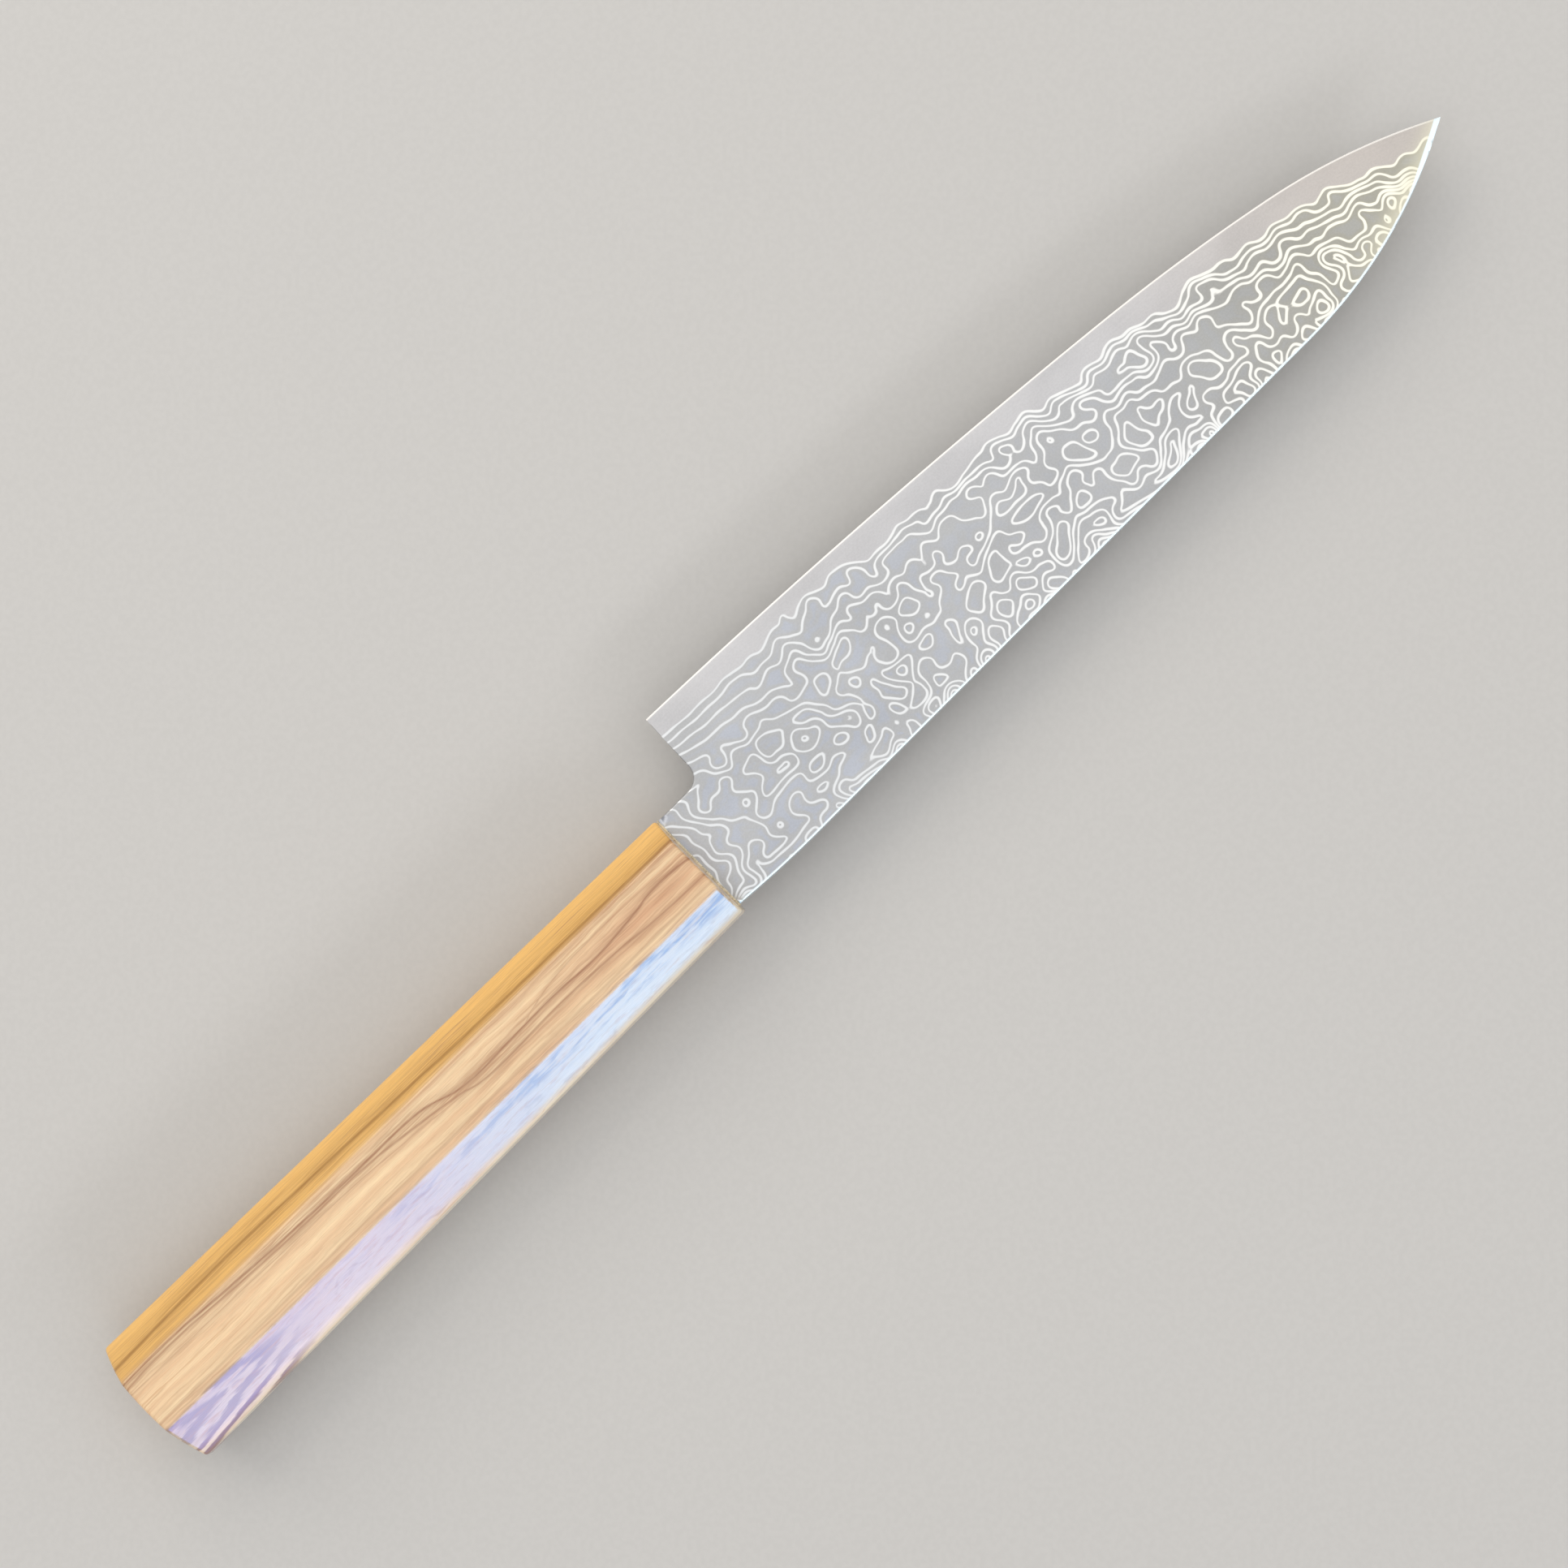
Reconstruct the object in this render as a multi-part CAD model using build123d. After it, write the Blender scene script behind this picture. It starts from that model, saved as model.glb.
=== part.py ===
from build123d import *
import math
import os

# A chef knife lying on its side: a three-layer clad blade whose hidden tang is glued into an
# octagonal wooden handle. Drawing frame, in millimetres: X = 0 at the handle's front face and
# growing towards the tip, Y = 0 along the straight spine and growing towards the cutting edge,
# Z = 0 in the middle of the blade's thickness. The finished knife is then set down with its
# origin at the bottom centre of its box.

# Blade outline
edge_length = 178.2           # heel to tip, along X
heel_setback = 11.7           # handle face to the heel's corner
heel_height = 36.9            # spine line to the heel's corner
heel_lean = 0.6               # how far the heel's foot stands back from its corner
heel_edge_angle = 1.85        # fall of the edge at the heel, degrees
belly_length = 68.8           # start of the belly to the tip, along X
belly_drop = 7.7              # fall of the edge from the heel to the start of the belly
sweep_length = 32.2           # start of the tip's sweep to the tip, along X
sweep_drop = 13.4             # fall of the edge from the heel to the start of the sweep
tip_height = 11.8             # spine line to the tip
spine_fall_length = 44.9      # start of the spine's fall to the tip, along X
choil_radius = 3.2            # inside corner between the heel and the neck

# Neck, where the blade meets the handle
neck_edge_step = 0.2          # from the handle's front corner in to the neck, on the edge side
neck_spine_step = 1.4         # and on the spine side
neck_curve_length = 20.0      # length over which the spine comes out to its line

# Blade section
spine_thickness = 2.0         # at the handle
tip_thickness = 1.2           # of the spine at the tip
wedge_loss = 0.4              # thickness lost from the spine to the heel's height
core_thickness = 0.8          # hard middle layer
core_reveal = 5.0             # width of core steel that the main bevel lays bare
edge_bevel_width = 0.5        # final sharpening bevel
edge_bevel_thickness = 0.2    # thickness at the top of the sharpening bevel
edge_land = 0.04              # flat left on the cutting edge

# Tang and the adhesive around it
tang_length = 100.0
tang_front_height = 11.0
tang_end_height = 6.0
tang_thickness = 2.0
tang_end_round = 1.5
glue_gap = 0.6                # adhesive on every side of the tang
seal_thickness = 0.35         # bead between the blade's shoulder and the handle
seal_lip = 0.2                # how far the bead stands out around the neck

# Handle, a tapered octagon
handle_length = 140.5
front_height = 22.8
rear_height = 27.1
front_thickness = 18.0
rear_thickness = 20.5
side_facet = 11.5             # height of the two broad side facets
facet_slope = 1.05            # thickness lost per unit of height across a corner facet
front_axis = 10.9             # handle's middle above the spine line, at the front
rear_axis = 12.05             # and at the butt
butt_radius = 75.0            # dome of the butt
corner_round = 0.6            # on all of the handle's corners

# Places that follow from the sizes above
heel = Vector(heel_setback, heel_height)
neck_top = Vector(seal_thickness, front_axis + front_height / 2 - neck_edge_step)
neck_bottom = Vector(seal_thickness, front_axis - front_height / 2 + neck_spine_step)
neck_curve_end = Vector(seal_thickness + neck_curve_length, 0)
heel_foot = Vector(heel_setback - heel_lean, neck_top.Y)
tip = Vector(heel_setback + edge_length, tip_height)
belly_start = Vector(tip.X - belly_length, heel_height - belly_drop)
sweep_start = Vector(tip.X - sweep_length, heel_height - sweep_drop)
spine_fall = Vector(tip.X - spine_fall_length, 0)
bevel_slope = (core_thickness - edge_bevel_thickness) / 2 / (core_reveal - edge_bevel_width)
bevel_reach = edge_bevel_width + (spine_thickness - edge_bevel_thickness) / 2 / bevel_slope
stock = spine_thickness       # half the thickness of the plate that the blade is cut from
overrun = 3.0                 # how far a cutting tool runs past the work


def edge_curves():
    """The cutting edge from heel to tip, as three arcs that run into one another."""
    fall = math.radians(heel_edge_angle)
    flat = TangentArc(heel, belly_start, tangent=(math.cos(fall), -math.sin(fall)))
    belly = TangentArc(belly_start, sweep_start, tangent=flat % 1)
    sweep_to_tip = TangentArc(sweep_start, tip, tangent=belly % 1)
    return [flat, belly, sweep_to_tip]


def blade_outline():
    """The blade's side view, from the shoulder at the handle to the tip."""
    neck_curve = TangentArc(neck_curve_end, neck_bottom, tangent=(-1, 0))
    shoulder = Line(neck_bottom, neck_top)
    choil = FilletPolyline(neck_top, heel_foot, heel, radius=choil_radius)
    fall_to_tip = TangentArc(spine_fall, tip, tangent=(1, 0))
    spine = Line(neck_curve_end, spine_fall)
    return make_face([neck_curve, shoulder, choil, *edge_curves(), fall_to_tip, spine])


def bevel_tool():
    """What the main bevel and the sharpening bevel take off the upper side."""
    curves = edge_curves()
    run_in = Line(heel - curves[0] % 0 * overrun, heel)
    run_out = Line(tip, tip + curves[-1] % 1 * overrun)
    path = Wire([run_in, *curves, run_out])
    along = path % 0
    section = Plane(origin=path @ 0, x_dir=(along.Y, -along.X, 0), z_dir=-along)
    profile = Polyline(
        (-overrun, edge_land / 2),
        (0, edge_land / 2),
        (edge_bevel_width, edge_bevel_thickness / 2),
        (bevel_reach, spine_thickness / 2),
        (bevel_reach, stock + overrun),
        (-overrun, stock + overrun),
        close=True,
    )
    return sweep(section * make_face(profile), path=path)


def face_plane():
    """The blade's upper face: a wedge that thins towards the edge and towards the tip."""
    toward_tip = (tip_thickness - spine_thickness) / 2 / tip.X
    toward_edge = -wedge_loss / 2 / heel_height
    return Plane(origin=(0, 0, spine_thickness / 2), z_dir=(-toward_tip, -toward_edge, 1))


def axis_at(x):
    """Height of the handle's middle line at X."""
    return front_axis + (rear_axis - front_axis) * -x / handle_length


def tang_shape(front_x, margin):
    """The tapered tang, grown by a margin on every side but the front."""
    end_x = -tang_length - margin
    front_half = tang_front_height / 2 + margin
    end_half = tang_end_height / 2 + margin
    outline = Polyline(
        (front_x, axis_at(front_x) - front_half),
        (front_x, axis_at(front_x) + front_half),
        (end_x, axis_at(end_x) + end_half),
        (end_x, axis_at(end_x) - end_half),
        close=True,
    )
    side = make_face(outline)
    side = fillet(side.vertices().sort_by(Axis.X)[:2], tang_end_round + margin)
    return extrude(side, tang_thickness / 2 + margin, both=True)


def laminated_blank():
    """Blade and tang as one ground piece, before it is divided into its layers."""
    plate = extrude(blade_outline(), stock, both=True)
    above = split(plate, bisect_by=Plane.XY, keep=Keep.TOP)
    above = split(above, bisect_by=face_plane(), keep=Keep.BOTTOM) - bevel_tool()
    blade = above + mirror(above, about=Plane.XY)
    return blade + tang_shape(seal_thickness, 0)


def make_core(blank):
    """The hard middle layer, bare along the edge."""
    lower_part = split(blank, bisect_by=Plane.XY.offset(core_thickness / 2), keep=Keep.BOTTOM)
    return split(lower_part, bisect_by=Plane.XY.offset(-core_thickness / 2), keep=Keep.TOP)


def make_upper_cladding(blank):
    """The patterned layer over the core."""
    return split(blank, bisect_by=Plane.XY.offset(core_thickness / 2), keep=Keep.TOP)


def octagon(x, height, thickness):
    """The corners of the handle's section at X, in order around it."""
    high = height / 2
    wide = thickness / 2
    facet = side_facet / 2
    flat = wide - (high - facet) * facet_slope
    corners = [(high, flat), (facet, wide), (-facet, wide), (-high, flat),
               (-high, -flat), (-facet, -wide), (facet, -wide), (high, -flat)]
    return [Vector(x, axis_at(x) + y, z) for y, z in corners]


def octagonal_bar():
    """A tapered bar whose eight long facets are all flat."""
    front = octagon(0, front_height, front_thickness)
    rear = octagon(-handle_length, rear_height, rear_thickness)
    middle = Pos(-handle_length / 2, rear_axis, 0)
    bar = middle * Box(handle_length, 2 * rear_height, 2 * rear_thickness)
    for i in range(len(front)):
        across = front[i] - front[i - 1]
        along = front[i] - rear[i]
        facet = Plane(origin=front[i], z_dir=across.cross(along))
        bar = split(bar, bisect_by=facet, keep=Keep.BOTTOM)
    return bar


def make_handle(slot):
    """The one-piece handle with a domed butt, soft corners and a blind slot for the tang."""
    reach = math.hypot(rear_height, rear_thickness) / 2
    dome_depth = butt_radius - math.sqrt(butt_radius ** 2 - reach ** 2)
    dome = Pos(butt_radius - handle_length, rear_axis, 0) * Sphere(butt_radius)
    butt_block = Pos(-handle_length, rear_axis, 0) * Box(2 * dome_depth, 2 * reach, 2 * reach)
    body = octagonal_bar() - (butt_block - dome)
    return fillet(body.edges(), corner_round) - slot


def make_seal(tang):
    """The bead of adhesive around the tang, squeezed between the shoulder and the handle."""
    bead = Pos(seal_thickness / 2, (neck_top.Y + neck_bottom.Y) / 2, 0) * Box(
        seal_thickness,
        neck_top.Y - neck_bottom.Y + 2 * seal_lip,
        max(spine_thickness, tang_thickness) + 2 * seal_lip,
    )
    return bead - tang


def make_knife():
    """Every piece by its node's name, in the drawing frame."""
    blank = laminated_blank()
    tang = tang_shape(seal_thickness, 0)
    slot = tang_shape(0, glue_gap)
    upper_cladding = make_upper_cladding(blank)
    return {
        "core_steel": make_core(blank),
        "upper_cladding": upper_cladding,
        "lower_cladding": mirror(upper_cladding, about=Plane.XY),
        "handle": make_handle(slot),
        "tang_adhesive": slot - tang,
        "neck_seal": make_seal(tang),
    }


def set_down(pieces):
    """Move the pieces so that the origin is at the bottom centre of the whole knife's box."""
    solids = [solid for piece in pieces.values() for solid in piece.solids()]
    box = Compound(solids).bounding_box()
    middle = box.center()
    return {name: Pos(-middle.X, -middle.Y, -box.min.Z) * piece for name, piece in pieces.items()}


os.makedirs("parts", exist_ok=True)
for name, piece in set_down(make_knife()).items():
    export_step(piece, f"parts/{name}.step")
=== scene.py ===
import bpy
import math
import numpy as np
from mathutils import Matrix, Vector, geometry, noise


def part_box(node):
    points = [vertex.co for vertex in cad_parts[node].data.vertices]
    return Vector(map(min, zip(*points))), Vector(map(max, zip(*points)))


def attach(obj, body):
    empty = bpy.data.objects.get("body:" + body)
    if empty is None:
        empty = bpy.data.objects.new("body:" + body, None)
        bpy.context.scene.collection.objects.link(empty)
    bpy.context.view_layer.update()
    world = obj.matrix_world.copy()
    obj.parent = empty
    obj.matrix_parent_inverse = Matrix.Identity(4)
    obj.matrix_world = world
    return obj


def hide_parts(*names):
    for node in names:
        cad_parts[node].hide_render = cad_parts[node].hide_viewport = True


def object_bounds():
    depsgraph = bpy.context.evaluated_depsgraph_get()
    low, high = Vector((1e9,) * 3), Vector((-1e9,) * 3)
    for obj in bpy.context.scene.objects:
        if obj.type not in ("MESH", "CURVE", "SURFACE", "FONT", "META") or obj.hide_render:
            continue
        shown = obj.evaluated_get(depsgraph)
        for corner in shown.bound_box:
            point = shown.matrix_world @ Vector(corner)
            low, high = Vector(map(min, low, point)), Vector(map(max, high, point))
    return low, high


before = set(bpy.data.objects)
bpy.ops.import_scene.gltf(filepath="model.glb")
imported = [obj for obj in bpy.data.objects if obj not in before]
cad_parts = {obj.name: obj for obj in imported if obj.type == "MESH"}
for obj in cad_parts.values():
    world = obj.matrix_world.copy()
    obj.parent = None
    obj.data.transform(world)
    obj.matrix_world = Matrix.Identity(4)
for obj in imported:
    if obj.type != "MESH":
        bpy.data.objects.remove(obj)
cadLow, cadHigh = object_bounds()

mm = 0.001
coreLow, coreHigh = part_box("core_steel")
_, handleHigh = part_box("handle")

# Drawing frame of the knife, in mm: x from the handle's front face towards the tip, y from the
# spine line towards the cutting edge, z up from the middle of the blade's thickness
drawingOrigin = Vector((handleHigh.x, coreLow.y, (coreLow.z + coreHigh.z) / 2))


def toFrame(points):
    # drawing frame in mm to the row frame in metres
    return [drawingOrigin + Vector(p) * mm for p in points]


def makeObject(name, vertices, faces, sharpAngle=35):
    mesh = bpy.data.meshes.new(name)
    mesh.from_pydata(vertices, [], faces)
    mesh.validate()
    mesh.update()
    mesh.shade_smooth()
    mesh.set_sharp_from_angle(angle=math.radians(sharpAngle))
    piece = bpy.data.objects.new(name, mesh)
    bpy.context.scene.collection.objects.link(piece)
    return piece


def addVectorAttribute(piece, name, values):
    layer = piece.data.attributes.new(name, "FLOAT_VECTOR", "POINT")
    layer.data.foreach_set("vector", np.asarray(values, np.float32).ravel())


def readMesh(piece):
    # corner's vertex and face numbers, points in the drawing frame, face middles and normals
    mesh = piece.data
    vertexOf = np.zeros(len(mesh.loops), int)
    mesh.loops.foreach_get("vertex_index", vertexOf)
    corners = np.zeros(len(mesh.polygons), int)
    mesh.polygons.foreach_get("loop_total", corners)
    faceOf = np.repeat(np.arange(len(corners)), corners)
    found = []
    for data, name in ((mesh.vertices, "co"), (mesh.polygons, "center"), (mesh.polygons, "normal")):
        values = np.zeros(len(data) * 3)
        data.foreach_get(name, values)
        found.append(values.reshape(-1, 3))
    points, middles = ((v - np.array(drawingOrigin)) / mm for v in found[:2])
    return vertexOf, faceOf, points, middles, found[2]


def gridFaces(rows, columns, closedRows=False, closedColumns=True):
    # quads over points stored row by row; either way round may close on itself
    return [(i * columns + j, (i + 1) % rows * columns + j,
             (i + 1) % rows * columns + (j + 1) % columns, i * columns + (j + 1) % columns)
            for i in range(rows if closedRows else rows - 1)
            for j in range(columns if closedColumns else columns - 1)]


def unrolled(place, count, faceOf):
    # places around a ring, where faces that close the ring read its first place as the count
    closing = np.zeros(faceOf.max() + 1, bool)
    np.logical_or.at(closing, faceOf, place == count - 1)
    return np.where(closing[faceOf] & (place == 0), count, place)


def addBakeMap(piece, u, v):
    # one UV pair for every face corner, in the mesh's own corner order
    layer = piece.data.uv_layers.new(name="OFBake")
    layer.data.foreach_set("uv", np.column_stack([u, v]).astype(np.float32).ravel())


def tangentArc(start, end, heading, step):
    # points after start up to end on the arc that leaves start along heading, and the heading at its end
    dx, dy = end[0] - start[0], end[1] - start[1]
    chord = math.hypot(dx, dy)
    halfTurn = math.atan2(dy, dx) - heading
    halfTurn = (halfTurn + math.pi) % (2 * math.pi) - math.pi
    radius = chord / 2 / math.sin(halfTurn)
    count = max(2, round(chord / step))
    points = []
    for i in range(1, count + 1):
        angle = heading + 2 * halfTurn * i / count
        points.append((start[0] + radius * (math.sin(angle) - math.sin(heading)),
                       start[1] - radius * (math.cos(angle) - math.cos(heading))))
    return points, heading + 2 * halfTurn


def straight(start, end, step):
    count = max(1, round(math.dist(start, end) / step))
    return [(start[0] + (end[0] - start[0]) * i / count, start[1] + (end[1] - start[1]) * i / count)
            for i in range(1, count + 1)]


# sizes of the blade in mm, places in the drawing frame
blade = {
    "heelX": 11.7, "heelY": 36.9, "heelFootX": 11.1, "choilRadius": 3.2,
    "heelAngle": 1.85, "bellyX": 121.1, "bellyY": 29.2, "sweepX": 157.7, "sweepY": 23.5,
    "tipX": 189.9, "tipY": 11.8, "spineFallX": 145.0,
    "neckX": 0.35, "neckTop": 22.1, "neckBottom": 0.9, "neckCurve": 20.0,
    "spineThickness": 2.0, "tipThickness": 1.2, "wedgeLoss": 0.4,
    "coreThickness": 0.8, "coreReveal": 5.0, "bevelWidth": 0.5, "bevelThickness": 0.2, "edgeLand": 0.04,
    "tangEnd": -100.0, "tangFrontHalf": 5.5, "tangEndHalf": 3.0, "tangFrontY": 10.9, "tangEndY": 11.72,
    "easedEdge": 0.42,  # rounding of the spine, the heel and the choil
    "grindBlend": 0.85,  # share of the cladding in which the flat runs into the bevel
    "outlineStep": 1.0, "heelStep": 0.8, "choilStep": 0.4, "shoulderStep": 2.0, "tangStep": 4.0,
    "runIn": 60.0, "runOut": 20.0, "revealRun": 6.0,  # how far the lines go on past heel and tip
    "pointSpacing": 1.5, "gridFromEdge": 4.4, "clearOfOutline": 1.0, "clearOfReveal": 0.7,
    "bandRows": (1.3, 2.6, 3.8), "bandRowClear": 0.3,  # rows of points behind the cutting edge
    "easedRows": (0.06, 0.15, 0.27, 0.42, 0.85), "easedRowStep": 0.7,  # and along the rounding
    "easedRowFromEdge": 1.2, "easedRowFromReveal": 0.15,
}


def bladeOutline(b):
    # closed outline in four runs: edge from heel to tip, spine back to the neck, tang, heel's back
    step = b["outlineStep"]
    heel, tip = (b["heelX"], b["heelY"]), (b["tipX"], b["tipY"])
    edge = [heel]
    heading = -math.radians(b["heelAngle"])
    for end in ((b["bellyX"], b["bellyY"]), (b["sweepX"], b["sweepY"]), tip):
        points, heading = tangentArc(edge[-1], end, heading, step)
        edge += points
    fallStart = (b["spineFallX"], 0)
    fall, _ = tangentArc(fallStart, tip, 0, step)
    curveEnd = (b["neckX"] + b["neckCurve"], 0)
    neckCurve, _ = tangentArc(curveEnd, (b["neckX"], b["neckBottom"]), math.pi, step)
    spine = fall[-2::-1] + [fallStart] + straight(fallStart, curveEnd, step) + neckCurve
    frontLow, frontHigh = ((b["neckX"], b["tangFrontY"] + side * b["tangFrontHalf"]) for side in (-1, 1))
    rearLow, rearHigh = ((b["tangEnd"], b["tangEndY"] + side * b["tangEndHalf"]) for side in (-1, 1))
    tang = straight(spine[-1], frontLow, b["shoulderStep"])
    for start, end in ((frontLow, rearLow), (rearLow, rearHigh), (rearHigh, frontHigh)):
        tang += straight(start, end, b["tangStep"])
    neckTop = (b["neckX"], b["neckTop"])
    tang += straight(frontHigh, neckTop, b["shoulderStep"])
    r = b["choilRadius"]
    lean = math.atan2(b["heelX"] - b["heelFootX"], b["heelY"] - b["neckTop"])
    setBack = r * math.tan((math.pi / 2 - lean) / 2)
    arcStart = (b["heelFootX"] - setBack, b["neckTop"])
    arcEnd = (b["heelFootX"] + setBack * math.sin(lean), b["neckTop"] + setBack * math.cos(lean))
    choil, _ = tangentArc(arcStart, arcEnd, 0, b["choilStep"])
    back = straight(neckTop, arcStart, step) + choil + straight(arcEnd, heel, b["heelStep"])
    return edge, spine, tang, back[:-1]


def nearestOnLine(points, line):
    # distance to a polyline, and the length along it, for many points at once
    a, b = line[:-1], line[1:]
    along = b - a
    lengths = np.linalg.norm(along, axis=1)
    starts = np.concatenate([[0], np.cumsum(lengths)])[:-1]
    rel = points[:, None, :] - a[None]
    t = np.clip((rel * along[None]).sum(2) / (lengths ** 2)[None], 0, 1)
    gap = np.linalg.norm(rel - t[..., None] * along[None], axis=2)
    best = gap.argmin(1)
    rows = np.arange(len(points))
    return gap[rows, best], starts[best] + t[rows, best] * lengths[best]


class BladeSurface:
    # distances and half thickness anywhere on the blade's side view
    def __init__(self, b):
        self.b = b
        edge, spine, tang, back = bladeOutline(b)
        self.outline = edge + spine + tang + back
        self.edgeCount = len(edge)
        edge = np.array(edge)
        before = edge[0] - b["runIn"] * (edge[1] - edge[0]) / np.linalg.norm(edge[1] - edge[0])
        after = edge[-1] + b["runOut"] * (edge[-1] - edge[-2]) / np.linalg.norm(edge[-1] - edge[-2])
        self.edgeLine = np.vstack([before, edge, after])
        easedBack = np.array(back + [tuple(edge[0])])
        self.easedLines = [np.array([tuple(edge[-1])] + spine), easedBack]

    def map(self, points):
        # length from the heel, then distances from the edge, from the spine or the heel's back, and
        # from the spine alone
        points = np.asarray(points, float)
        fromEdge, along = nearestOnLine(points, self.edgeLine)
        fromBack = np.min([nearestOnLine(points, line)[0] for line in self.easedLines], axis=0)
        fromSpine = nearestOnLine(points, self.easedLines[0])[0]
        return along - self.b["runIn"], fromEdge, fromBack, fromSpine

    def halfThickness(self, points, fromEdge, fromBack):
        b = self.b
        x, y = np.maximum(points[:, 0], 0), points[:, 1]
        core = b["coreThickness"] / 2
        wedge = b["spineThickness"] / 2 + x / b["tipX"] * (b["tipThickness"] - b["spineThickness"]) / 2 \
            - y / b["heelY"] * b["wedgeLoss"] / 2
        small = b["bevelThickness"] / 2
        slope = (core - small) / (b["coreReveal"] - b["bevelWidth"])
        bevel = np.where(fromEdge < b["bevelWidth"],
                         b["edgeLand"] / 2 + fromEdge / b["bevelWidth"] * (small - b["edgeLand"] / 2),
                         small + slope * (fromEdge - b["bevelWidth"]))
        blend = np.maximum(b["grindBlend"] * (wedge - core), 1e-6)
        near = np.maximum(blend - np.abs(wedge - bevel), 0) / blend
        half = np.minimum(wedge, bevel) - near ** 2 * blend / 4
        half = np.where(points[:, 0] < b["neckX"], wedge, half)
        # the rounding never takes the whole cladding, nor the whole edge near heel and tip
        radius = np.minimum(b["easedEdge"], np.minimum(0.8 * np.abs(half - core), 0.5 * half))
        inside = np.clip(radius - fromBack, 0, None)
        eased = radius - np.sqrt(np.maximum(radius ** 2 - inside ** 2, 0))
        return np.where(points[:, 0] < b["neckX"] - 0.01, half, half - eased)


def bladeTriangles(surface):
    # one triangulation of the whole side view, cut along the line where the core comes to light
    b = surface.b
    outline = np.array(surface.outline)
    edge = outline[:surface.edgeCount]
    tangents = np.gradient(edge, axis=0)
    inward = np.stack([tangents[:, 1], -tangents[:, 0]], 1)
    inward /= np.linalg.norm(inward, axis=1)[:, None]
    reveal = edge + inward * b["coreReveal"]
    before = reveal[0] - b["revealRun"] * tangents[0] / np.linalg.norm(tangents[0])
    after = reveal[-1] + b["revealRun"] * tangents[-1] / np.linalg.norm(tangents[-1])
    reveal = np.vstack([before, reveal, after])
    closed = np.vstack([outline, outline[:1]])
    easedRows = []
    for line in surface.easedLines:
        fine = [straight(a, c, b["easedRowStep"]) for a, c in zip(line[:-1], line[1:])]
        fine = np.array(sum(fine, []))
        along = np.gradient(fine, axis=0)
        side = np.stack([-along[:, 1], along[:, 0]], 1)
        side /= np.linalg.norm(side, axis=1)[:, None] + 1e-12
        easedRows += [(width, fine + s * side * width) for width in b["easedRows"] for s in (1, -1)]
    h = b["pointSpacing"]
    rowPitch = h * 0.87  # rows of equal-sided triangles
    gridX, gridY = np.meshgrid(np.arange(b["tangEnd"] + h, b["tipX"], h),
                               np.arange(h / 2, b["heelY"], rowPitch))
    gridX = gridX + (np.arange(gridX.shape[0]) % 2)[:, None] * h / 2
    grid = np.stack([gridX.ravel(), gridY.ravel()], 1)
    gridEdge = surface.map(grid)[1]
    clear = nearestOnLine(grid, closed)[0] > b["clearOfOutline"]
    fromReveal = np.abs(gridEdge - b["coreReveal"])
    keepGrid = clear & (fromReveal > b["clearOfReveal"]) & (gridEdge > b["gridFromEdge"])
    keepGrid |= (grid[:, 0] < b["neckX"]) & clear & (grid[:, 0] % (3 * h) < h)  # the tang needs fewer
    loose = [grid[keepGrid]]
    for width in (b["bevelWidth"], *b["bandRows"]):
        row = edge[1:-1] + inward[1:-1] * width
        loose.append(row[nearestOnLine(row, closed)[0] > b["bandRowClear"]])
    for width, row in easedRows:
        rowEdge = surface.map(row)[1]
        good = np.abs(nearestOnLine(row, closed)[0] - width) < 0.01  # not past a corner
        good &= rowEdge > b["easedRowFromEdge"]
        good &= np.abs(rowEdge - b["coreReveal"]) > b["easedRowFromReveal"]
        loose.append(row[good])
    points = np.vstack([outline, reveal] + loose)
    first = len(outline)
    cuts = [(i, (i + 1) % first) for i in range(first)]
    cuts += [(first + i, first + i + 1) for i in range(len(reveal) - 1)]
    found = geometry.delaunay_2d_cdt([Vector(p) for p in points], cuts, [list(range(first))], 1, 1e-5)
    vertices = np.array([tuple(v) for v in found[0]])
    triangles = np.array([f for f in found[2] if len(f) == 3])
    return vertices, triangles


def buildLayer(name, vertices, triangles, top, bottom, surface):
    # a closed solid between two heights over the same triangles; where they meet the skins share points
    used = np.unique(triangles)
    newIndex = {v: i for i, v in enumerate(used)}
    tri = np.vectorize(newIndex.get)(triangles)
    flat = vertices[used]
    high, low = top[used], bottom[used]
    count = len(used)
    joined = (high - low) < 1e-4  # mm
    lowIndex = np.where(joined, np.arange(count), np.arange(count) + count)
    points = np.vstack([np.column_stack([flat, high]), np.column_stack([flat, low])])
    edges = {}
    for a, b, c in tri:
        for e in ((a, b), (b, c), (c, a)):
            edges[e] = True
    rim = [e for e in edges if (e[1], e[0]) not in edges]
    faces = [tuple(t) for t in tri]
    faces += [(lowIndex[c], lowIndex[b], lowIndex[a]) for a, b, c in tri]
    for a, b in rim:
        wall = [b, a, lowIndex[a], lowIndex[b]]
        wall = [v for i, v in enumerate(wall) if v != wall[i - 1]]
        if len(wall) >= 3:
            faces.append(tuple(wall))
    keep = np.unique([v for f in faces for v in f])
    order = {v: i for i, v in enumerate(keep)}
    faces = [tuple(order[v] for v in f) for f in faces]
    piece = makeObject(name, toFrame(points[keep]), faces, sharpAngle=40)
    along, fromEdge, _, fromSpine = surface.map(points[keep][:, :2])
    addVectorAttribute(piece, "bladeMap", np.column_stack([along, fromEdge, fromSpine]))
    return piece


# bake map of the blade: lengths in mm, gap and lift as shares of the map
bladeBake = {
    "claddingStrips": 2, "coreStrips": 3, "stripRun": 186.0, "stripMargin": 5.0, "coreStart": -1.5,
    "overlap": 0.3, "gap": 0.012, "uprightBelow": 0.3,
    "restReach": 292.0, "wallReach": 326.0, "wallLift": 0.14, "wallPerMm": 0.008, "spineWallStep": 2.4,
}


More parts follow.
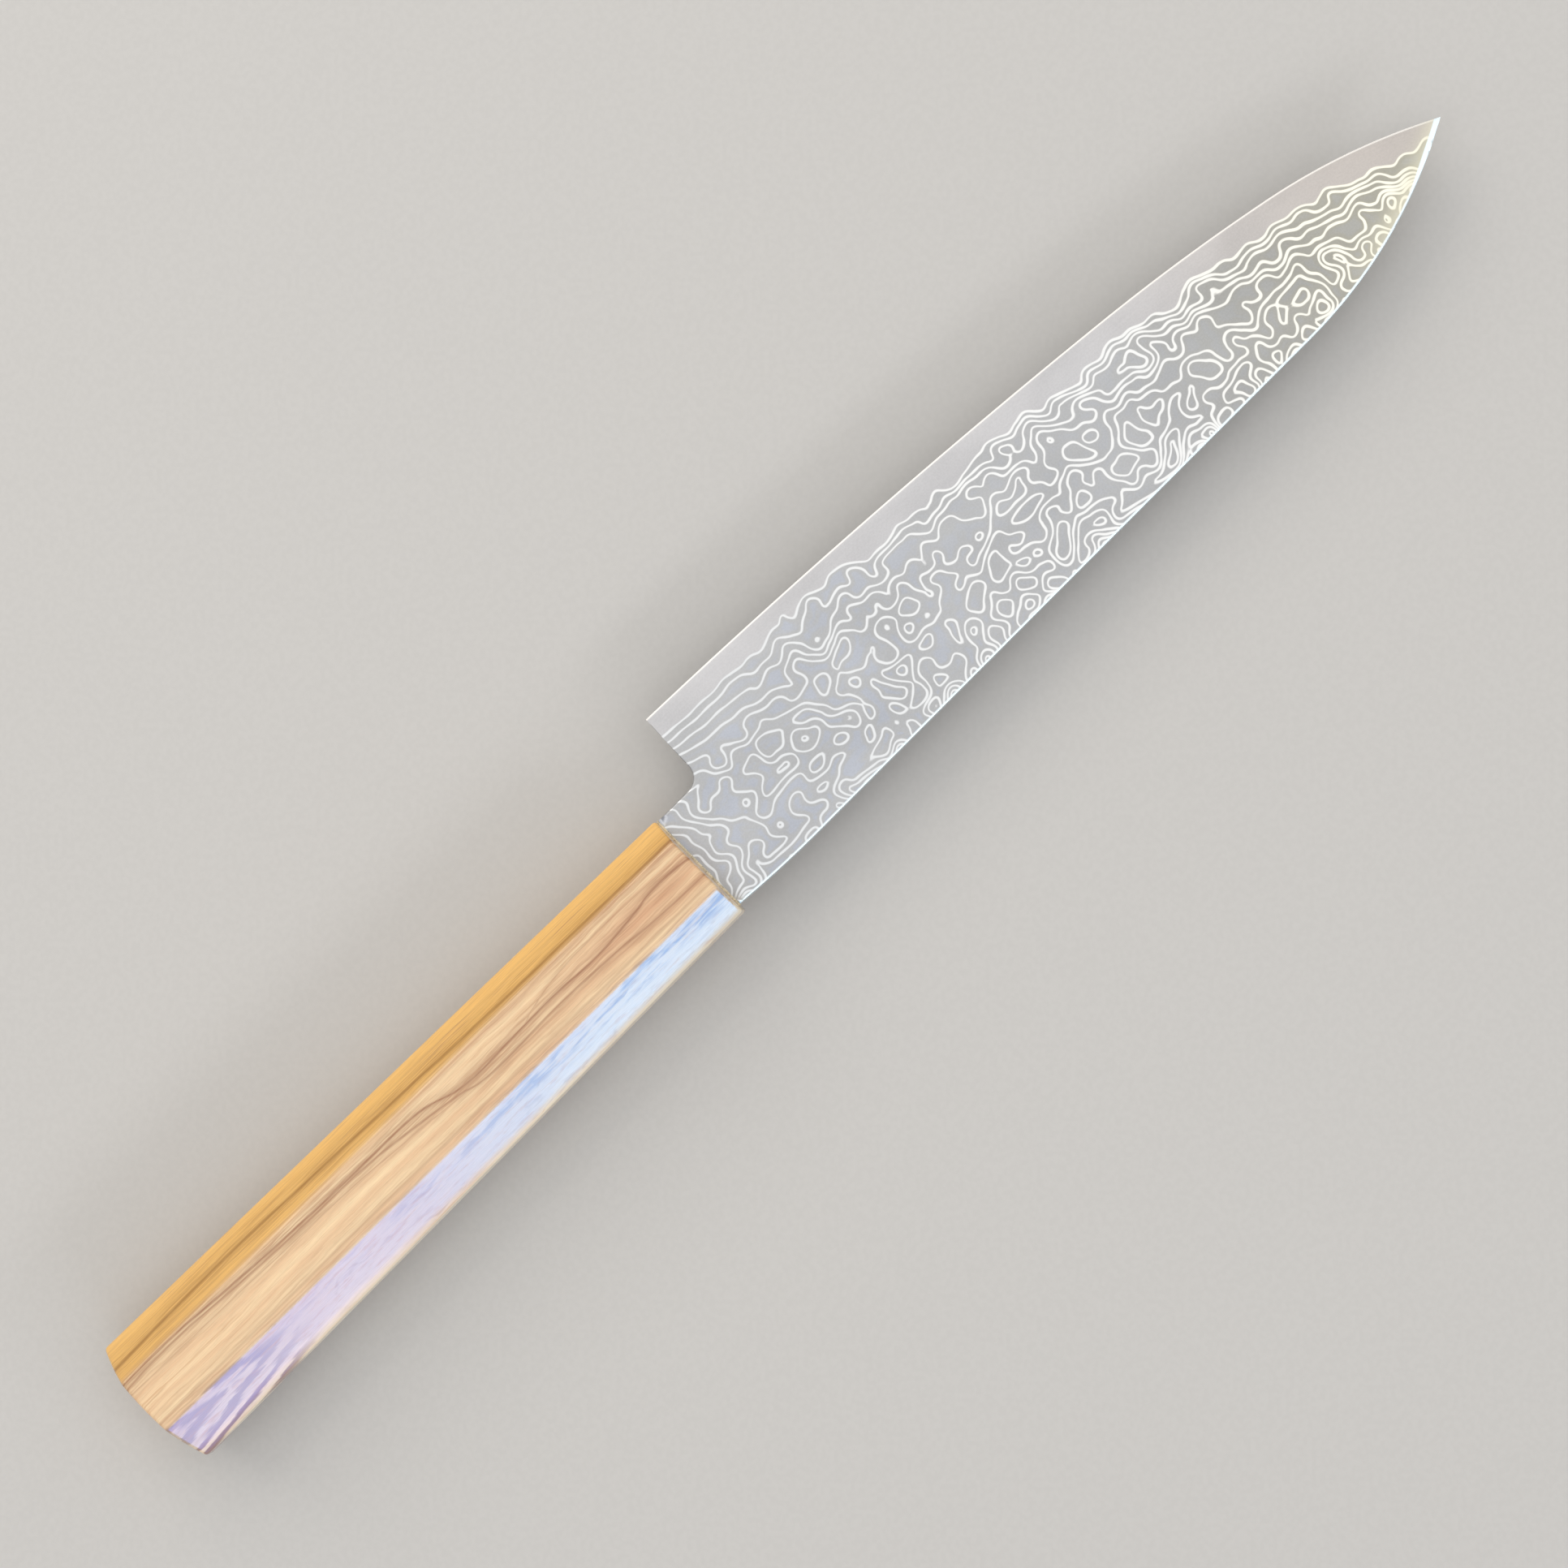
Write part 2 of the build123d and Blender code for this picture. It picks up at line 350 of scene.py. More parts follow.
def bakeBlade(piece, c, strips, byEdge):
    # faces that show lie in strips along the blade, walls and hidden faces small above them
    vertexOf, faceOf, points, middles, normals = readMesh(piece)
    flat, flatMiddles = points[vertexOf], middles[faceOf]
    upright = np.abs(normals[faceOf, 2]) < c["uprightBelow"]
    shows = ~upright & (flatMiddles[:, 0] > blade["neckX"])
    length = c["stripRun"] / strips
    if byEdge:
        along, across, _, _ = surface.map(points[:, :2])
        alongMiddle, acrossMiddle, _, _ = surface.map(middles[:, :2])
        shows &= acrossMiddle[faceOf] < blade["coreReveal"] + 0.02
        flatAlong, flatAcross, middleAlong = along[vertexOf], across[vertexOf], alongMiddle[faceOf]
        start, height = c["coreStart"], blade["coreReveal"] + c["overlap"]
    else:
        outward = 1.0 if middles[:, 2].mean() > 0 else -1.0
        shows &= normals[faceOf, 2] * outward > 0
        flatAlong, flatAcross, middleAlong = flat[:, 0], flat[:, 1], flatMiddles[:, 0]
        start, height = 0.0, blade["heelY"] + c["overlap"]
    strip = np.floor((middleAlong - start) / length).clip(0, strips - 1)
    scale = 1.0 / (length + c["stripMargin"])
    row = strip + (strips * (normals[faceOf, 2] < 0) if byEdge else 0)
    rowStep = height * scale + c["gap"]
    u = (flatAlong - start - strip * length + c["stripMargin"] / 2) * scale
    v = (flatAcross + 0.1) * scale + row * rowStep
    top = (strips * (2 if byEdge else 1)) * rowStep + c["gap"]
    restU = (flat[:, 0] - blade["tangEnd"] + 1.0) / c["restReach"]
    restV = top + flat[:, 1] / c["restReach"]
    wallU = (flat[:, 0] - blade["tangEnd"] + flat[:, 1] + 1.0) / c["wallReach"]
    wallV = top + c["wallLift"] + (flat[:, 2] + 1.0) * c["wallPerMm"]
    wallV += (normals[faceOf, 1] < 0) * c["spineWallStep"] * c["wallPerMm"]
    u = np.where(shows, u, np.where(upright, wallU, restU))
    v = np.where(shows, v, np.where(upright, wallV, restV))
    addBakeMap(piece, u, v)
    print(piece.name, "bake map reaches", round(float(u.max()), 3), round(float(v.max()), 3))


surface = BladeSurface(blade)
flatPoints, flatTriangles = bladeTriangles(surface)
_, fromEdge, fromBack, _ = surface.map(flatPoints)
half = surface.halfThickness(flatPoints, fromEdge, fromBack)
coreHalf = blade["coreThickness"] / 2
centres = flatPoints[flatTriangles].mean(1)
centreEdge = surface.map(centres)[1]
onCladding = (centreEdge > blade["coreReveal"]) | (centres[:, 0] < blade["neckX"])
print("blade surface", len(flatPoints), "points", len(flatTriangles), "triangles")
claddingTop = np.maximum(half, coreHalf)
level = np.full(len(flatPoints), coreHalf)
coreTop = np.minimum(half, coreHalf)
core = buildLayer("coreSteel", flatPoints, flatTriangles, coreTop, -coreTop, surface)
upper = buildLayer("upperCladding", flatPoints, flatTriangles[onCladding], claddingTop, level, surface)
lower = buildLayer("lowerCladding", flatPoints, flatTriangles[onCladding], -level, -claddingTop, surface)
for piece, node, slot in ((core, "core_steel", "core_steel"), (upper, "upper_cladding", "layered_steel"),
                          (lower, "lower_cladding", "layered_steel")):
    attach(piece, "root")
    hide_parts(node)
    strips = bladeBake["coreStrips" if piece is core else "claddingStrips"]
    bakeBlade(piece, bladeBake, strips, piece is core)


# sizes of the handle in mm
handle = {
    "length": 140.48, "frontHeight": 22.8, "rearHeight": 27.1, "frontThickness": 18.0, "rearThickness": 20.5,
    "sideFacet": 11.5, "facetSlope": 1.05, "frontAxis": 10.9, "rearAxis": 12.05, "domeRadius": 75.0,
    "cornerRound": 0.55, "rimRound": 0.7,
    "slotDepth": 100.6, "slotFront": (6.1, 1.6), "slotEnd": (3.6, 1.6),  # half height and half width
    "facetSteps": 5, "cornerSteps": 4, "lengthSteps": 46, "faceSteps": 4, "rimSteps": 5, "domeSteps": 9,
}

# bake map of the handle: lengths in mm, the rest as shares of the map
handleBake = {
    "sideLow": 0.01, "sideShare": 0.6, "margin": 1.0,
    "endMiddle": 11.5, "endReach": 84.0, "frontU": 0.17, "buttU": 0.52, "endV": 0.81, "buttSlope": -0.6,
    "slotU": 0.72, "slotReach": 400.0, "slotLow": 0.65, "slotShare": 0.3,
}


def bezier(a, b, c, t):
    return a * (1 - t) ** 2 + b * 2 * t * (1 - t) + c * t ** 2


def octagonRing(h, u):
    # rounded octagon at the share u of the handle's length, as (y, z) around its axis
    high = (h["frontHeight"] + (h["rearHeight"] - h["frontHeight"]) * u) / 2
    wide = (h["frontThickness"] + (h["rearThickness"] - h["frontThickness"]) * u) / 2
    facet = h["sideFacet"] / 2
    flat = wide - (high - facet) * h["facetSlope"]
    corners = np.array([(high, flat), (facet, wide), (-facet, wide), (-high, flat),
                        (-high, -flat), (-facet, -wide), (facet, -wide), (high, -flat)])
    ring = []
    for i in range(8):
        here, back, ahead = corners[i], corners[i - 1], corners[(i + 1) % 8]
        start = here + (back - here) / np.linalg.norm(back - here) * h["cornerRound"]
        end = here + (ahead - here) / np.linalg.norm(ahead - here) * h["cornerRound"]
        ring += [bezier(start, here, end, k / h["cornerSteps"]) for k in range(h["cornerSteps"] + 1)]
        nextStart = ahead + (here - ahead) / np.linalg.norm(here - ahead) * h["cornerRound"]
        ring += [end + (nextStart - end) * k / h["facetSteps"] for k in range(1, h["facetSteps"])]
    return np.array(ring)


def slotRing(ring, half):
    # where the slot's wall lies in the direction of each ring point
    grow = np.min(half / np.maximum(np.abs(ring), 1e-9), axis=1)
    return ring * grow[:, None]


def buildHandle(h):
    front, rear = octagonRing(h, 0), octagonRing(h, 1)
    columns = len(front)
    axisAt = lambda x: h["frontAxis"] - (h["rearAxis"] - h["frontAxis"]) * x / h["length"]

    def at(x, offset):
        return np.column_stack([x, axisAt(x) + offset[:, 0], offset[:, 1]])

    def side(x):
        u = (-x / h["length"])[:, None]
        return front * (1 - u) + rear * u

    def dome(offset):
        centre = h["domeRadius"] - h["length"]
        reach = offset + np.array([axisAt(-h["length"]) - h["rearAxis"], 0])
        return centre - np.sqrt(h["domeRadius"] ** 2 - (reach ** 2).sum(1))

    zero = np.zeros(columns)
    r = h["rimRound"]
    inset = front * (1 - r / np.linalg.norm(front, axis=1))[:, None]
    slot = slotRing(front, h["slotFront"])
    slotFar = slotRing(front, h["slotEnd"])
    rows = [at(zero - h["slotDepth"], slotFar), at(zero, slot)]
    faceSteps, rimSteps, domeSteps = h["faceSteps"], h["rimSteps"], h["domeSteps"]
    rows += [at(zero, slot + (inset - slot) * k / faceSteps) for k in range(1, faceSteps + 1)]
    corner = at(zero, front)
    behind = at(zero - r, side(zero - r))
    face = at(zero, inset)
    rows += [bezier(face, corner, behind, k / faceSteps) for k in range(1, faceSteps + 1)]
    rim = dome(side(zero - h["length"]))
    for _ in range(4):  # the sides widen towards the dome, so the rim is found by closing in on it
        rim = dome(side(rim))
    for k in range(1, h["lengthSteps"]):
        x = -r + (rim + 2 * r) * k / (h["lengthSteps"] - 1)
        rows.append(at(x, side(x)))
    rimOffset = side(rim)
    domeStart = rimOffset * (1 - r / np.linalg.norm(rimOffset, axis=1))[:, None]
    start, edge = rows[-1], at(rim, rimOffset)
    end = at(dome(domeStart), domeStart)
    rows += [bezier(start, edge, end, k / rimSteps) for k in range(1, rimSteps + 1)]
    for k in range(1, domeSteps):
        offset = domeStart * (1 - k / domeSteps)
        rows.append(at(dome(offset), offset))
    slotPole = np.array([-h["slotDepth"], axisAt(-h["slotDepth"]), 0.0])
    buttPole = np.array([-h["length"], h["rearAxis"], 0.0])
    points = np.vstack(rows + [slotPole, buttPole])
    faces = gridFaces(len(rows), columns)
    slotEnd, buttEnd = len(rows) * columns, len(rows) * columns + 1
    lastRow = slotEnd - columns
    for j in range(columns):
        k = (j + 1) % columns
        faces.append((slotEnd, j, k))
        faces.append((lastRow + j, buttEnd, lastRow + k))
    piece = makeObject("oliveHandle", toFrame(points), faces, sharpAngle=50)
    bakeHandle(piece, h, handleBake, columns, len(rows))
    return piece


def bakeHandle(piece, h, c, columns, rowCount):
    # the sides unrolled, then the front face, the domed butt and the slot beside each other above them
    vertexOf, faceOf, points, middles, normals = readMesh(piece)
    row, column = vertexOf // columns, vertexOf % columns
    around = unrolled(column, columns, faceOf) / columns
    u = (points[vertexOf, 0] + h["length"] + c["margin"]) / (h["length"] + 2 * c["margin"])
    v = c["sideLow"] + around * c["sideShare"]
    faceRow = np.zeros(len(middles))
    np.maximum.at(faceRow, faceOf, np.where(row < rowCount, row, 0))
    across = (points[vertexOf, 1] - c["endMiddle"]) / c["endReach"]
    up = points[vertexOf, 2] / c["endReach"]
    slot = (faceRow[faceOf] <= 1) | (vertexOf == rowCount * columns)
    front = (faceRow[faceOf] >= 2) & (faceRow[faceOf] <= 2 + h["faceSteps"])
    butt = normals[faceOf, 0] < c["buttSlope"]
    u = np.where(front, c["frontU"] + across, np.where(butt, c["buttU"] + across, u))
    v = np.where(front | butt, c["endV"] + up, v)
    u = np.where(slot, c["slotU"] - points[vertexOf, 0] / c["slotReach"], u)
    v = np.where(slot, c["slotLow"] + around * c["slotShare"], v)
    addBakeMap(piece, u, v)


handlePiece = buildHandle(handle)
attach(handlePiece, "root")
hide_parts("handle")
print("handle built", len(handlePiece.data.vertices), "points")


# bead of adhesive at the neck, in mm
bead = {
    "thickness": 0.35, "lip": 0.25, "lipShare": 0.6, "ragged": 0.22,
    "lumpSize": 1.6, "lumpPlace": (6, 2, 4.2),
    "bladeHalf": 1.0, "tangHalf": (5.5, 1.0), "tangMiddle": 10.9, "middle": 11.5, "half": 10.6,
    "squareness": 0.22, "roll": 0.08,  # power that squares the oval, and depth of the rolled edges
    "bulge": 0.03, "sink": 0.05, "drawnIn": (0.1, 0.16), "steps": 72,
}


def buildBead(b):
    # a flat ragged frame around the tang, thinner and thicker as it was squeezed out
    n = b["steps"]
    lumpY, lumpZ, lumpX = b["lumpPlace"]
    rings = [[], [], [], [], [], []]
    for i in range(n):
        angle = 2 * math.pi * i / n
        c, s = math.cos(angle), math.sin(angle)
        cy = math.copysign(abs(c) ** b["squareness"], c)
        sz = math.copysign(abs(s) ** b["squareness"], s)
        ragged = noise.noise(Vector((cy * lumpY, sz * lumpZ, lumpX)) * b["lumpSize"]) * b["ragged"]
        outY = cy * (b["half"] + b["lip"] * b["lipShare"]) + b["middle"]
        outZ = sz * (b["bladeHalf"] + b["lip"] + ragged)
        inY = cy * b["tangHalf"][0] + b["tangMiddle"]
        inZ = sz * b["tangHalf"][1]
        endY = outY - math.copysign(b["drawnIn"][0], cy)
        endZ = outZ - math.copysign(b["drawnIn"][1], sz)
        rings[0].append((0.0, inY, inZ))
        rings[1].append((0.0, outY, outZ))
        rings[2].append((b["roll"], outY, outZ + math.copysign(b["bulge"], sz)))
        rings[3].append((b["thickness"] - b["roll"], outY, outZ - math.copysign(b["sink"], sz)))
        rings[4].append((b["thickness"], endY, endZ))
        rings[5].append((b["thickness"], inY, inZ))
    points = [p for ring in rings for p in ring]
    faces = [f[::-1] for f in gridFaces(len(rings), n, closedRows=True)]
    piece = makeObject("neckBead", toFrame(points), faces, sharpAngle=60)
    vertexOf, faceOf, _, _, _ = readMesh(piece)
    u = unrolled(vertexOf % n, n, faceOf) / n
    v = unrolled(vertexOf // n, len(rings), faceOf) / len(rings)
    addBakeMap(piece, u, v)
    return piece


beadPiece = buildBead(bead)
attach(beadPiece, "root")
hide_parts("neck_seal")
print("bead built", len(beadPiece.data.vertices), "points")


def feed(tree, socket, value):
    if isinstance(value, bpy.types.NodeSocket):
        tree.links.new(value, socket)
    else:
        socket.default_value = value


class NodeSheet:
    # adds nodes to one tree; an input may be a number, a colour or another node's output
    def __init__(self, tree):
        self.tree = tree
        self.count = 0

    def put(self, kind, inputs=(), **settings):
        node = self.tree.nodes.new(kind)
        node.location = (self.count % 14 * 190, -(self.count // 14) * 300)
        self.count += 1
        for name, value in settings.items():
            setattr(node, name, value)
        for socket, value in inputs:
            feed(self.tree, node.inputs[socket], value)
        return node

    def math(self, operation, *values, clamp=False):
        return self.put("ShaderNodeMath", enumerate(values), operation=operation, use_clamp=clamp).outputs[0]

    def add(self, a, b):
        return self.math("ADD", a, b)

    def minus(self, a, b):
        return self.math("SUBTRACT", a, b)

    def times(self, a, b):
        return self.math("MULTIPLY", a, b)

    def share(self, a, b):
        return self.math("DIVIDE", a, b)

    def higher(self, a, b):
        return self.math("MAXIMUM", a, b)

    def sway(self, value, amount):
        # a noise that runs from 0 to 1, centred on nothing and scaled
        return self.times(self.add(value, -0.5), amount)

    def gauss(self, distance, width):
        # 1 at no distance, falling away over the width
        ratio = self.share(distance, width)
        return self.math("EXPONENT", self.times(self.times(ratio, ratio), -1.0))

    def vector(self, operation, *values):
        return self.put("ShaderNodeVectorMath", enumerate(values), operation=operation).outputs[0]

    def scaled(self, vector, x, y, z):
        return self.vector("MULTIPLY", vector, (x, y, z))

    def combine(self, x, y, z):
        return self.put("ShaderNodeCombineXYZ", enumerate((x, y, z))).outputs[0]

    def split(self, vector):
        return self.put("ShaderNodeSeparateXYZ", [(0, vector)]).outputs

    def noise(self, vector, scale=1.0, detail=0.0, roughness=0.5, distortion=0.0):
        inputs = (("Vector", vector), ("Scale", scale), ("Detail", detail), ("Roughness", roughness),
                  ("Distortion", distortion))
        return self.put("ShaderNodeTexNoise", inputs).outputs[0]

    def stretch(self, value, fromLow, fromHigh, toLow=0.0, toHigh=1.0, smooth=True):
        settings = {"interpolation_type": "SMOOTHSTEP"} if smooth else {}
        inputs = enumerate((value, fromLow, fromHigh, toLow, toHigh))
        return self.put("ShaderNodeMapRange", inputs, **settings).outputs[0]

    def mix(self, factor, a, b, blend="MIX"):
        node = self.put("ShaderNodeMix", (), data_type="RGBA", blend_type=blend)
        for socket, value in ((0, factor), (6, a), (7, b)):
            feed(self.tree, node.inputs[socket], (*value, 1.0) if isinstance(value, tuple) else value)
        return node.outputs[2]

    def tinted(self, color, tone):
        return self.mix(1.0, color, self.combine(tone, tone, tone), "MULTIPLY")

    def blend(self, factor, a, b):
        # number between a and b
        return self.add(self.times(factor, self.minus(b, a)), a)

    def line(self, value, points, xRange, yRange):
        # smooth line through (x, y) points, both in their real units
        share = self.stretch(value, xRange[0], xRange[1], smooth=False)
        node = self.put("ShaderNodeFloatCurve", [(1, share)])
        curve = node.mapping.curves[0]
        places = [((x - xRange[0]) / (xRange[1] - xRange[0]), (y - yRange[0]) / (yRange[1] - yRange[0]))
                  for x, y in points]
        curve.points[0].location = places[0]
        curve.points[1].location = places[-1]
        for place in places[1:-1]:
            curve.points.new(*place)
        node.mapping.update()
        return self.stretch(node.outputs[0], 0.0, 1.0, yRange[0], yRange[1], smooth=False)


def newGroup(name, inputs, outputs):
    tree = bpy.data.node_groups.new(name, "ShaderNodeTree")
    for socketName, kind, value in inputs:
        socket = tree.interface.new_socket(name=socketName, in_out="INPUT", socket_type="NodeSocket" + kind)
        if value is not None:
            socket.default_value = value
    for socketName, kind in outputs:
        tree.interface.new_socket(name=socketName, in_out="OUTPUT", socket_type="NodeSocket" + kind)
    sheet = NodeSheet(tree)
    return tree, sheet, sheet.put("NodeGroupInput").outputs, sheet.put("NodeGroupOutput").inputs


def useGroup(sheet, group, **inputs):
    node = sheet.put("ShaderNodeGroup", (), node_tree=group)
    for name, value in inputs.items():
        feed(sheet.tree, node.inputs[name], value)
    return node.outputs


def newMaterial(name, **fixed):
    material = bpy.data.materials.new(name)
    material.use_nodes = True
    shader = material.node_tree.nodes["Principled BSDF"]
    for socket, value in fixed.items():
        shader.inputs[socket.replace("_", " ")].default_value = value
    return material, NodeSheet(material.node_tree), shader


def connect(sheet, shader, color, roughness, height=None, strength=0.1, depth=0.0001):
    sheet.tree.links.new(color, shader.inputs["Base Color"])
    sheet.tree.links.new(roughness, shader.inputs["Roughness"])
    if height is not None:
        bump = sheet.put("ShaderNodeBump", (("Strength", strength), ("Distance", depth), ("Height", height)))
        sheet.tree.links.new(bump.outputs[0], shader.inputs["Normal"])


def drawingCoordinates(sheet):
    # object coordinates as the drawing frame in mm
    place = sheet.put("ShaderNodeTexCoord").outputs["Object"]
    return sheet.scaled(sheet.vector("SUBTRACT", place, tuple(drawingOrigin)), *(1 / mm,) * 3)


# the folded layers; runs are mm from the heel along the blade, depths are mm from the edge
layers = {
    "count": 6.4, "tipGain": 1.8, "countRun": (60.0, 160.0),  # layers that the grind cuts through
    "reach": 8.2, "tipReach": 12.0, "reachRun": (60.0, 150.0),  # how fast they spread out
    "bandWidth": 4.2,  # plain steel along the edge
    "longWave": 9.0, "shortWave": 4.3, "longHeight": 3.2, "shortHeight": 3.5,
    "edgeWave": 1.05, "fieldWave": 1.2, "waveDepth": (4.0, 15.0),
    "tipWave": 0.85, "tipWaveRun": (70.0, 175.0),
    "calmHeel": 0.12, "calmRun": (8.0, 36.0), "calmDepth": (9.0, 17.0),
    "spineWave": 5.0, "spineDrop": 0.7, "spineFade": 0.35, "spineDepth": (5.0, 9.0),
    "neckHill": 9.0, "hillPlace": (-21.0, 25.0), "hillSpread": 260.0, "hillCalm": 0.45,
    "lineWidth": 0.195, "lineSoft": 0.11, "tipLine": 1.25, "lineRun": (60.0, 140.0), "step": 0.15,
    # painted reflection tints: a cool lavender on the open ground near the heel, and a warm cream on the
    # ground, band and lines toward the tip
    "ground": (0.435, 0.445, 0.463), "open": (0.43, 0.455, 0.515), "openWidth": (0.5, 1.7),
    "warmGround": (0.405, 0.397, 0.348), "tipRun": (95.0, 172.0), "openRun": (20.0, 95.0),
    "heelLine": (0.66, 0.68, 0.705), "lineColor": (0.76, 0.77, 0.78), "warmLine": (0.90, 0.88, 0.77),
    "heelLineRun": (10.0, 80.0), "warmLineRun": (105.0, 165.0),
    "dimPlace": 132.0, "dimWidth": 30.0, "dim": -0.07,
    "band": (0.48, 0.48, 0.50), "warmBand": (0.483, 0.453, 0.435),
    # the polished micro-bevel of the cutting edge is painted as a bright warm-white highlight line
    "edgeHighlightColor": (0.80, 0.78, 0.75), "edgeWidth": 0.3, "edgeSoft": 0.1,
    # the polished spine is painted with a cyan-white reflection highlight, which widens toward the tip
    "spineHighlightColor": (0.78, 0.90, 0.97), "spineWidth": 0.42, "tipSpineWidth": 1.0, "spineRun": (169.0, 177.0),
    "spineSoft": 0.12, "polishFrom": 0.3,  # mm ahead of the handle
    # a painted warm cream sheen along the spine toward the tip
    "tipSheen": (0.72, 0.70, 0.56), "tipSheenWidth": 2.6, "tipSheenRun": (148.0, 170.0), "tipSheenShare": 0.65,
    "bandRough": 0.40, "fieldRough": 0.32, "lineRough": 0.5, "polishRough": 0.26,
}


def makeLevelGroup(c):
    # height of the folded layers at a place on the blade; each whole number is one layer
    inputs = [(name, "Float", 0.0) for name in ("Along", "FromEdge", "FromSpine", "Side")]
    tree, n, given, out = newGroup("layerLevel", inputs, [("Level", "Float")])
    s, d, e, side = (given[name] for name in ("Along", "FromEdge", "FromSpine", "Side"))
    reach = n.stretch(s, *c["reachRun"], c["reach"], c["tipReach"])
    fall = n.math("EXPONENT", n.share(n.minus(c["bandWidth"], d), reach))
    count = n.stretch(s, *c["countRun"], c["count"], c["count"] * c["tipGain"])
    base = n.times(n.minus(1.0, fall), count)
    calmHeel = n.higher(n.stretch(s, *c["calmRun"], c["calmHeel"], 1.0), n.stretch(d, *c["calmDepth"]))
    wave = n.blend(n.stretch(d, *c["waveDepth"]), c["edgeWave"], c["fieldWave"])
    wave = n.times(wave, calmHeel)
    atSpine = n.times(n.math("EXPONENT", n.times(e, -c["spineFade"])), n.stretch(d, *c["spineDepth"]))
    wave = n.times(wave, n.stretch(s, *c["tipWaveRun"], 1.0, c["tipWave"]))
    shift = n.times(side, 40.0)  # the two sides of the blade get different waves
    far = n.noise(n.combine(n.share(s, c["longWave"]), n.share(d, c["longWave"] * 0.75), shift))
    near = n.noise(n.combine(n.share(s, c["shortWave"]), n.share(d, c["shortWave"]), n.add(shift, 17.0)))
    near = n.add(near, -0.5)
    bumps = n.add(n.sway(far, c["longHeight"]), n.times(near, c["shortHeight"]))
    hillX, hillY = n.add(s, -c["hillPlace"][0]), n.add(d, -c["hillPlace"][1])
    hill = n.add(n.times(hillX, hillX), n.times(hillY, hillY))
    hill = n.math("EXPONENT", n.times(hill, -1 / c["hillSpread"]))
    wave = n.times(wave, n.stretch(hill, 0.0, 0.6, 1.0, c["hillCalm"]))
    level = n.add(base, n.times(wave, bumps))
    level = n.add(level, n.times(hill, c["neckHill"]))
    level = n.add(level, n.times(atSpine, n.add(n.times(near, c["spineWave"]), -c["spineDrop"])))
    tree.links.new(level, out["Level"])
    return tree


